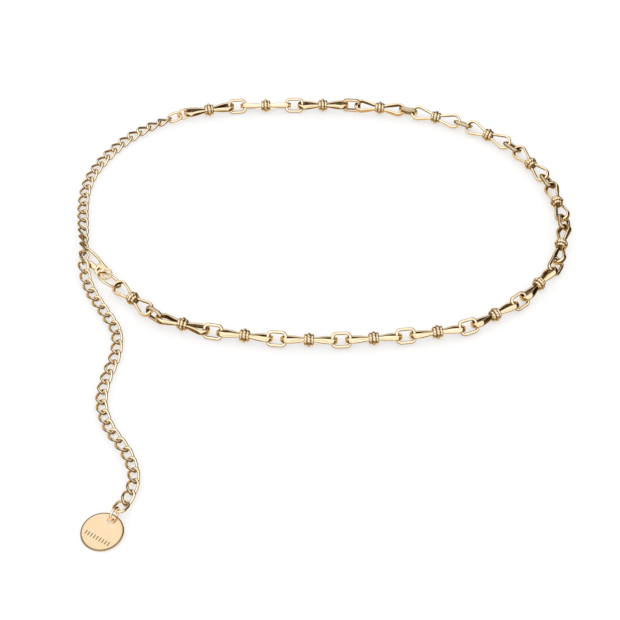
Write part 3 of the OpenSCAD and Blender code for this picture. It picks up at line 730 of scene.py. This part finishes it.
# The lever: a slim shank in the slot that swells into a domed bar with a thumb pad. It is one
# pillow, held down to the slot's room near the hinge.
def leverForm():
    outline = smoothLoop(np.array(leverShares) * (clasp["length"], clasp["width"]), 8)
    points, quads, caps, marks = pillow(outline, leverSpine, clasp["hookThick"] / 2,
        clasp["pillowRound"])
    slim = clasp["lever"] / clasp["hookThick"]
    room = slim + (1 - slim) * smoothStep(points[:, 0], *clasp["slimUntil"])
    points = points * np.column_stack([np.ones((len(points), 2)), room])
    return points, quads, caps, marks


claspAt = claspPlace()
bodySurfaces = [eyeForm(), hookForm(), cheekForm(1), cheekForm(-1), pinHead(1), pinHead(-1)]
makePiece("smooth_clasp_body", [placed(surface, claspAt) for surface in bodySurfaces],
    gold["claspGold"], "chain", "clasp_body")
makePiece("smooth_clasp_lever", [placed(leverForm(), claspAt)], gold["claspGold"], "lever",
    "clasp_lever")
print("clasp made")

# Floor: pale, lit by the studio and a little by itself, so that its shadows stay faint
floorLook = {"size": 8, "colour": 0.55, "rough": 0.95, "glow": 0.5}


# A wide flat square under the chain
def makeFloor():
    half = floorLook["size"] / 2
    mesh = bpy.data.meshes.new("floor")
    mesh.from_pydata([(-half, -half, 0), (half, -half, 0), (half, half, 0), (-half, half, 0)], [],
        [(0, 1, 2, 3)])
    paint = bpy.data.materials.new("floorPaint")
    paint.use_nodes = True
    shader = paint.node_tree.nodes["Principled BSDF"]
    shader.inputs["Base Color"].default_value = (floorLook["colour"],) * 3 + (1,)
    shader.inputs["Roughness"].default_value = floorLook["rough"]
    shader.inputs["Specular IOR Level"].default_value = 0
    shader.inputs["Emission Color"].default_value = (1, 1, 1, 1)
    shader.inputs["Emission Strength"].default_value = floorLook["glow"]
    mesh.materials.append(paint)
    floor = bpy.data.objects.new("floor", mesh)
    floor.visible_glossy = False  # the metal reflects the studio's own lower half instead
    bpy.context.scene.collection.objects.link(floor)


makeFloor()
scene = bpy.context.scene
scene.view_settings.view_transform = "Standard"

# Studio: even white light for the floor. In the metal it shows as a white tent that reaches from
# overhead to the camera and a golden dusk below it, in zones by the angle from the tent's
# direction, with spots of other colours in them: a dark flag behind on the right, a pale one on
# the left, the table in front, a bright wall behind and a soft box overhead.
studio = {"sky": 1.0, "tent": (0, -0.40, 0.917),
    "zones": ((-1.0, (0.8, 0.66, 0.44)), (-0.6, (0.72, 0.56, 0.34)), (-0.42, (0.3, 0.2, 0.1)),
        (-0.25, (0.2, 0.13, 0.06)), (0.0, (0.2, 0.13, 0.06)), (0.1, (0.03, 0.018, 0.008)),
        (0.2, (0.03, 0.018, 0.008)), (0.29, (1.0, 0.98, 0.95)), (0.44, (1.14, 1.16, 1.22)),
        (0.57, (1.2, 1.25, 1.36)), (0.64, (0.8, 0.76, 0.66)), (0.74, (1.15, 1.24, 1.4)),
        (1.0, (1.1, 1.18, 1.3))),
    "spots": (((-0.75, 0.62, -0.15), 0.78, 0.96, (0.7, 0.58, 0.38)),
        ((0.7, 0.66, 0.25), 0.68, 0.85, (0.012, 0.007, 0.003)),
        ((0, -0.6, -0.8), 0.8, 0.97, (0.62, 0.44, 0.22)),
        ((0, 0.665, 0.747), 0.88, 0.97, (1.03, 1.05, 1.11)),
        ((-0.4, -0.3, 0.87), 0.93, 0.98, (1.45, 1.55, 1.75)))}


# The world: white for the camera and for soft light, and the zones with their spots for the metal
def studioWorld():
    world = bpy.data.worlds.new("studio")
    world.use_nodes = True
    tree = world.node_tree
    where = tree.nodes.new("ShaderNodeTexCoord")

    def towards(direction):  # 1 straight along the direction, -1 straight away from it
        length = math.sqrt(sum(part * part for part in direction))
        near = tree.nodes.new("ShaderNodeVectorMath")
        near.operation = "DOT_PRODUCT"
        near.inputs[1].default_value = [part / length for part in direction]
        tree.links.new(where.outputs["Generated"], near.inputs[0])
        return near.outputs["Value"]

    zoneShare = tree.nodes.new("ShaderNodeMapRange")
    zoneShare.inputs["From Min"].default_value = -1
    zones = tree.nodes.new("ShaderNodeValToRGB")
    ramp = zones.color_ramp
    while len(ramp.elements) < len(studio["zones"]):
        ramp.elements.new(0.5)
    for element, (height, colour) in zip(ramp.elements, studio["zones"]):
        element.position = (height + 1) / 2
        element.color = (*colour, 1)
    tree.links.new(towards(studio["tent"]), zoneShare.inputs["Value"])
    tree.links.new(zoneShare.outputs["Result"], zones.inputs["Fac"])
    light = zones.outputs["Color"]
    for direction, outer, inner, colour in studio["spots"]:
        spot = tree.nodes.new("ShaderNodeMapRange")
        spot.interpolation_type = "SMOOTHSTEP"
        spot.inputs["From Min"].default_value = outer
        spot.inputs["From Max"].default_value = inner
        cover = tree.nodes.new("ShaderNodeMix")
        cover.data_type = "RGBA"
        cover.inputs["B"].default_value = (*colour, 1)
        tree.links.new(towards(direction), spot.inputs["Value"])
        tree.links.new(spot.outputs["Result"], cover.inputs["Factor"])
        tree.links.new(light, cover.inputs["A"])
        light = cover.outputs["Result"]
    rays = tree.nodes.new("ShaderNodeLightPath")
    seen = tree.nodes.new("ShaderNodeMix")
    seen.data_type = "RGBA"
    seen.inputs["A"].default_value = (studio["sky"],) * 3 + (1,)
    tree.links.new(rays.outputs["Is Glossy Ray"], seen.inputs["Factor"])
    tree.links.new(light, seen.inputs["B"])
    tree.links.new(seen.outputs["Result"], tree.nodes["Background"].inputs["Color"])
    return world


scene.world = studioWorld()

# Camera at the photograph's angle
cameraSet = {"place": (-0.00558, -0.6528, 0.6591), "tilt": 41.69, "lens": 98.71, "sensor": 36}
cameraData = bpy.data.cameras.new("camera")
cameraData.sensor_width = cameraSet["sensor"]
cameraData.lens = cameraSet["lens"]
camera = bpy.data.objects.new("camera", cameraData)
camera.location = cameraSet["place"]
camera.rotation_euler = (math.radians(cameraSet["tilt"]), 0, 0)
scene.collection.objects.link(camera)
scene.camera = camera
print("stage made")
